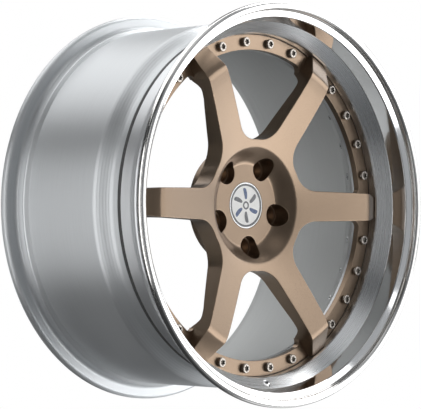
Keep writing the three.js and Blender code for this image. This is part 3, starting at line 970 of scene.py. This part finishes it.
def bolt_mesh():
    """A round-headed bolt with a star socket. Its head's underside is at y = 0 and it points to +Y."""
    shell = Shell()
    top = -BOLT_HEAD_H
    rows, zones = [], []

    def add(row, zone):
        rows.append(row)
        zones.append(zone)

    # Zone 1 rows form the star socket. It takes the darkened steel, which is painted shade in the recess.
    add(round_row(0.0, top + 2.9, FASTENER_STEPS), 1)
    add(star_row(2.4, 0.4, top + 2.5), 1)
    add(star_row(3.3, 0.62, top + 2.3), 1)
    add(star_row(3.4, 0.65, top + 0.4), 1)
    add(star_row(3.6, 0.6, top + 0.15), 0)
    add(star_row(3.95, 0.35, top + 0.03), 0)
    add(round_row(4.7, top, FASTENER_STEPS), 0)
    for turn in (0, 15, 30, 45, 60, 75, 90):
        a = math.radians(turn)
        radius = BOLT_HEAD_R - 1.6 + 1.6 * math.sin(a)
        add(round_row(radius, top + 1.3 * (1 - math.cos(a)), FASTENER_STEPS), 0)
    add(round_row(BOLT_HEAD_R, -0.35, FASTENER_STEPS), 0)
    add(round_row(BOLT_HEAD_R - 0.3, -0.05, FASTENER_STEPS), 0)
    add(round_row(BOLT_R, -0.05, FASTENER_STEPS), 0)
    end = BOLT_HIGH_Y - RING_FACE
    thread = end - 5.0
    add(round_row(BOLT_R, thread, FASTENER_STEPS), 0)
    turns = 3
    for i in range(turns):
        y = thread + 0.5 + i * 1.25
        add(round_row(BOLT_R - 0.35, y, FASTENER_STEPS), 0)
        add(round_row(BOLT_R, y + 0.6, FASTENER_STEPS), 0)
    add(round_row(BOLT_R - 0.3, end - 0.5, FASTENER_STEPS), 0)
    add(round_row(BOLT_R - 0.9, end, FASTENER_STEPS), 0)
    add(round_row(0.0, end, FASTENER_STEPS), 0)
    shell.grid(rows, closed=True, zones=zones)
    return shell.mesh("assembly_bolt_mesh", 35)


def nut_mesh():
    """A flanged twelve-point nut. Its flange sits at y = 0 and it points to +Y."""
    shell = Shell()
    rows = [
        round_row(BOLT_R + 0.05, 0.0, FASTENER_STEPS),
        round_row(NUT_R - 0.3, 0.0, FASTENER_STEPS),
        round_row(NUT_R, 0.3, FASTENER_STEPS),
        round_row(NUT_R, 0.9, FASTENER_STEPS),
        round_row(NUT_R - 0.35, 1.35, FASTENER_STEPS),
        star_row(6.1, 0.28, 1.9, 12),
        star_row(5.85, 0.36, 2.2, 12),
        star_row(5.85, 0.36, NUT_H - 0.7, 12),
        star_row(5.6, 0.18, NUT_H - 0.25, 12),
        round_row(5.1, NUT_H, FASTENER_STEPS),
        round_row(BOLT_R + 0.5, NUT_H, FASTENER_STEPS),
        round_row(BOLT_R + 0.05, NUT_H - 0.45, FASTENER_STEPS),
    ]
    rows.append(rows[0])
    shell.grid(rows, closed=True)
    return shell.mesh("assembly_nut_mesh", 35)


BOLT_LOW_Y, BOLT_HIGH_Y = (corner.y for corner in cad("assembly_bolt_01"))
NUT_LOW_Y = cad("assembly_nut_01")[0].y


def fasteners():
    """24 bolts and nuts, each turned by hand to its own angle."""
    chance = random.Random(SEED)
    bolt, nut = bolt_mesh(), nut_mesh()
    for i in range(BOLTS):
        number = f"{i + 1:02d}"
        for name, mesh, materials, slot, base in (
            ("assembly_bolt", bolt, [BOLT_STEEL, SOCKET_PAINTED_SHADE], "bolt", BOLT_LOW_Y + BOLT_HEAD_H),
            ("assembly_nut", nut, [NUT_STEEL], "nut", NUT_LOW_Y),
        ):
            low, high = cad(f"{name}_{number}")
            middle = (low + high) / 2
            made = piece(f"{name}_look_{number}", mesh, "wheel", materials, slot, [f"{name}_{number}"])
            made.location = (middle.x * MM, base * MM, middle.z * MM)
            made.rotation_euler = (0, chance.uniform(0, TAU / 6), 0)


# ---------------------------------------------------------------- centre cap

def centre_cap():
    edge = 0.5
    top, rim = BOWL_Y, CAP_HIGH.x
    badge_r = BADGE_HIGH.x + 0.25
    skirt = 28.5
    groove = CLIP_LOW.y - 0.15
    groove_end = CLIP_HIGH.y + 0.15
    end = CAP_HIGH.y
    corners = [
        (badge_r, top, 0.2, 0), (rim, top, edge, 0), (rim, top + 2.7, 0.3, 0), (skirt, top + 2.7, 0.2, 0),
        (skirt, groove, 0.1, 0), (skirt - 1.6, groove, 0.1, 0), (skirt - 1.6, groove_end, 0.1, 0),
        (skirt, groove_end, 0.2, 0), (skirt, end - 1.2, 0.3, 0), (skirt - 1.0, end, 0.2, 0),
        (skirt - 2.6, end, 0.3, 0), (skirt - 2.6, top + 2.7, 0.6, 0),
    ]
    outline = rounded(corners, closed=False)
    outline += [(0, top + 2.7, 0), (0, top + 1.05, 0), (badge_r, top + 1.05, 0)]
    mesh = lathe(outline, 128).mesh("centre_cap_mesh")
    return piece("centre_cap_look", mesh, "cap", [CAP_METAL], "cap", ["centre_cap"])


def cap_ring():
    """The spring wire ring in the cap's groove, open at the bottom."""
    wire = (CLIP_HIGH.y - CLIP_LOW.y) / 2
    radius = CLIP_HIGH.x - wire
    middle = (CLIP_HIGH.y + CLIP_LOW.y) / 2
    gap = math.radians(24)
    shell = Shell()
    rows = []
    count = 20
    for angle in spaced(-math.pi / 2 + gap / 2, 1.5 * math.pi - gap / 2, 140):
        rows.append([
            _flat(radius + wire * math.cos(TAU * i / count), angle, middle + wire * math.sin(TAU * i / count))
            for i in range(count)
        ])
    for row in (rows[0], rows[-1]):
        centre = tuple(sum(p[i] for p in row) / count for i in range(3))
        for i in range(count):
            shell.face([row[i], row[(i + 1) % count], centre])
    shell.grid(rows, closed=True)
    return piece("cap_ring_look", shell.mesh("cap_ring_mesh", 40), "cap", [SPRING_STEEL], "spring",
                 ["cap_retaining_ring"])


def badge():
    """An enamelled badge with a plain radial motif: a graphite border, six blades and a small hub."""
    rim = BADGE_HIGH.x
    back = BADGE_HIGH.y
    dome = 0.35

    def top_at(r):
        return BOWL_Y + 0.15 + dome * (r / rim) ** 2

    shell = Shell()
    steps = 128
    border = 26.6
    profile = [(0, top_at(0), 0)]
    profile += [(r, top_at(r), 0) for r in spaced(3, border, 10)]
    profile += [
        (border + 0.15, top_at(border) - 0.18, 1), (rim - 0.4, top_at(rim) - 0.22, 1),
        (rim, top_at(rim), 1), (rim, back, 1), (0, back, 1),
    ]
    zones = [zone for _, _, zone in profile]
    shell.grid([round_row(r, y, steps) for r, y, _ in profile], closed=True, zones=zones)
    for k in range(6):
        blade(shell, top_at, TAU * (k + 0.5) / 6, 2 if k % 2 else 1)
    hub = [
        (5.6, top_at(5.6) + 0.05), (5.6, top_at(5) - 0.2), (5.2, top_at(5) - 0.28),
        (3.6, top_at(3.6) - 0.28), (3.3, top_at(3.3) - 0.2), (3.3, top_at(3.3) + 0.05),
    ]
    hub.append(hub[0])
    shell.grid([round_row(r, y, 48) for r, y in hub], closed=True, zones=[1] * len(hub))
    mesh = shell.mesh("cap_badge_mesh")
    enamels = [ENAMEL_WHITE, ENAMEL_GREY, ENAMEL_BLUE]
    return piece("cap_badge_look", mesh, "cap", enamels, "badge", ["cap_badge"])


def blade(shell, top_at, angle, zone):
    """One slim raised blade of the badge, wider towards the rim and swept to one side."""
    rows = []
    for t in spaced(0, 1, 12):
        r = 8.4 + 15.2 * t
        half = 0.9 + 2.2 * math.sin(math.pi * min(t * 0.62 + 0.1, 1))
        if t in (0, 1):
            half *= 0.55
        bend = 3.0 * t * t
        rows.append([
            (r, top_at(r) + 0.06, bend - half), (r, top_at(r) - 0.16, bend - half),
            (r, top_at(r) - 0.24, bend - half + 0.25), (r, top_at(r) - 0.24, bend + half - 0.25),
            (r, top_at(r) - 0.16, bend + half), (r, top_at(r) + 0.06, bend + half),
        ])
    turned = [moved(row, 0.0, angle) for row in rows]
    shell.grid(turned, closed=True, zones=[zone] * len(turned))
    shell.face(turned[0], zone)
    shell.face(turned[-1], zone)


# ---------------------------------------------------------------- studio

def emission(name, colour, strength):
    material = bpy.data.materials.new(name)
    material.use_nodes = True
    tree = material.node_tree
    tree.nodes.clear()
    light = tree.nodes.new("ShaderNodeEmission")
    light.inputs["Color"].default_value = (*colour, 1)
    light.inputs["Strength"].default_value = strength
    out = tree.nodes.new("ShaderNodeOutputMaterial")
    tree.links.new(light.outputs[0], out.inputs["Surface"])
    return material


def backdrop():
    """A pale floor under the wheel and a white surround, which only the camera sees."""
    white = emission("white_surround", (1, 1, 1), 1.0)
    made = []
    floor = bpy.data.meshes.new("floor_mesh")
    side, level = 9.0, -FLANGE_R * MM
    corners = [(-side, -side, level), (side, -side, level), (side, side, level), (-side, side, level)]
    floor.from_pydata(corners, [], [(0, 1, 2, 3)])
    made.append(bpy.data.objects.new("studio_floor", floor))
    work = bmesh.new()
    bmesh.ops.create_icosphere(work, subdivisions=4, radius=12)
    surround = bpy.data.meshes.new("surround_mesh")
    work.to_mesh(surround)
    work.free()
    made.append(bpy.data.objects.new("studio_surround", surround))
    for o in made:
        o.data.materials.append(white)
        bpy.context.scene.collection.objects.link(o)
        o.visible_diffuse = False
        o.visible_glossy = False
        o.visible_transmission = False
        o.visible_shadow = False


def toward(bearing, elevation):
    """A direction from the wheel: bearing 0 is in front of its face, 90 is the picture's left."""
    a, e = math.radians(bearing), math.radians(elevation)
    return Vector((-math.sin(a) * math.cos(e), -math.cos(a) * math.cos(e), math.sin(e)))


def softbox(name, bearing, elevation, distance, width, height, radiance):
    """A rectangular light that faces the wheel and looks equally bright at any size."""
    lamp = bpy.data.lights.new(name, "AREA")
    lamp.shape = "RECTANGLE"
    lamp.size, lamp.size_y = width, height
    lamp.energy = radiance * math.pi * width * height
    made = bpy.data.objects.new(name, lamp)
    bpy.context.scene.collection.objects.link(made)
    made.location = toward(bearing, elevation) * distance
    made.rotation_euler = (-toward(bearing, elevation)).to_track_quat("-Z", "Y").to_euler()
    made.visible_camera = False


def world(bright_side, low, high):
    """Dim studio surroundings that grow brighter towards one side."""
    made = bpy.data.worlds.new("studio")
    bpy.context.scene.world = made
    made.use_nodes = True
    tree = made.node_tree
    place = tree.nodes.new("ShaderNodeTexCoord")
    along = tree.nodes.new("ShaderNodeVectorMath")
    along.operation = "DOT_PRODUCT"
    along.inputs[1].default_value = bright_side
    ramp = tree.nodes.new("ShaderNodeMapRange")
    ramp.interpolation_type = "SMOOTHSTEP"
    for key, value in (("From Min", -0.3), ("From Max", 0.9), ("To Min", low), ("To Max", high)):
        ramp.inputs[key].default_value = value
    tree.links.new(place.outputs["Generated"], along.inputs[0])
    tree.links.new(along.outputs["Value"], ramp.inputs["Value"])
    tree.links.new(ramp.outputs[0], tree.nodes["Background"].inputs["Strength"])
    tree.nodes["Background"].inputs["Color"].default_value = (0.94, 0.97, 1, 1)


def camera():
    """The photograph's viewpoint: in front of the wheel and to its left, a touch below the middle."""
    lens = bpy.data.cameras.new("photo_camera")
    lens.lens = 185.6
    lens.sensor_width = 36
    lens.clip_end = 60
    made = bpy.data.objects.new("photo_camera", lens)
    bpy.context.scene.collection.objects.link(made)
    made.location = (-2.1076, -2.1310, -0.0670)
    target = Vector((-0.07094, -0.05923, -0.0001))
    made.rotation_euler = (target - made.location).to_track_quat("-Z", "Y").to_euler()
    made.rotation_euler.rotate_axis("Z", math.radians(0.093))
    bpy.context.scene.camera = made


# ---------------------------------------------------------------- the scene

outer_lip()
inner_barrel()
sealant_bead()
centre_disc()
fasteners()
centre_cap()
cap_ring()
badge()

backdrop()
world((0.75, -0.6, 0.0), 0.035, 0.4)
softbox("right_key", -49, 10, 3.2, 4.6, 1.25, 1.15)
softbox("right_card", -48, -20, 3.2, 4.6, 1.7, 2.5)
softbox("near_top", -54, 23, 1.15, 0.9, 0.45, 1.5)
softbox("right_low", -98, -52, 3.0, 2.4, 1.8, 0.5)
softbox("right_high", -98, 46, 3.0, 2.2, 2.1, 3.6)
softbox("overhead", 165, 62, 2.7, 3.0, 2.4, 1.6)
softbox("ceiling", 25, 68, 2.7, 1.7, 1.6, 0.4)
softbox("back_low", 190, -22, 3.0, 1.2, 1.2, 1.0)
softbox("left_side", 105, -5, 2.8, 1.9, 3.3, 2.05)
softbox("left_front_strip", 58, 2, 3.0, 0.7, 4.2, 0.85)
camera()
bpy.context.scene.view_settings.view_transform = "Standard"
